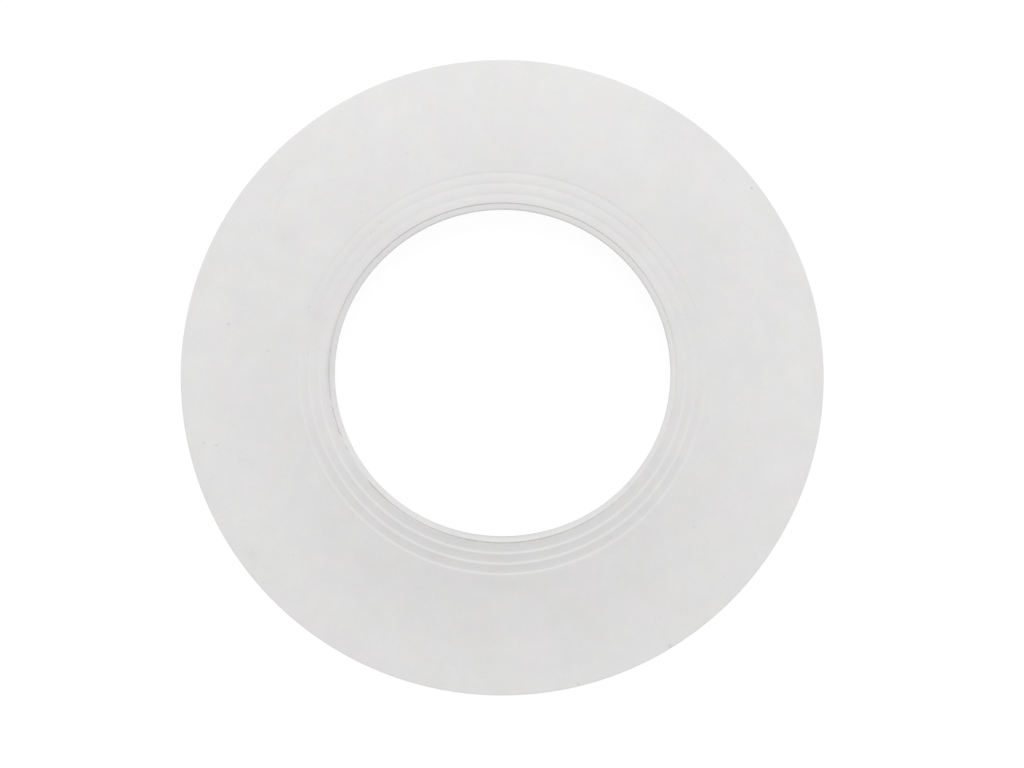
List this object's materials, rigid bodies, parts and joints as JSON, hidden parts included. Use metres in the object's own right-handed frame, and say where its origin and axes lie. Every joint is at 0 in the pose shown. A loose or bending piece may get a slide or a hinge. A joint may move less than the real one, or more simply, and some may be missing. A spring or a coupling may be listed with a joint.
{
  "type": "pan connector cap",
  "caption": "Soft white conical ring that slips over a toilet waste pipe and hides the hole in the wall, with fine stepped ledges and a thin lip beside the bore.",
  "frame": {"origin": "middle of the bore, in the plane of the wall that the rim rests on", "axes": "+Z along the pipe, out of the wall; X and Y lie in the wall"},
  "size_m": [0.2, 0.2, 0.0106],
  "materials": {
    "white_rubber": "soft white moulding, matt to slightly silky, faintly mottled"
  },
  "bodies": {
    "root": {"cap_ring": "white_rubber"}
  },
  "joints": []
}
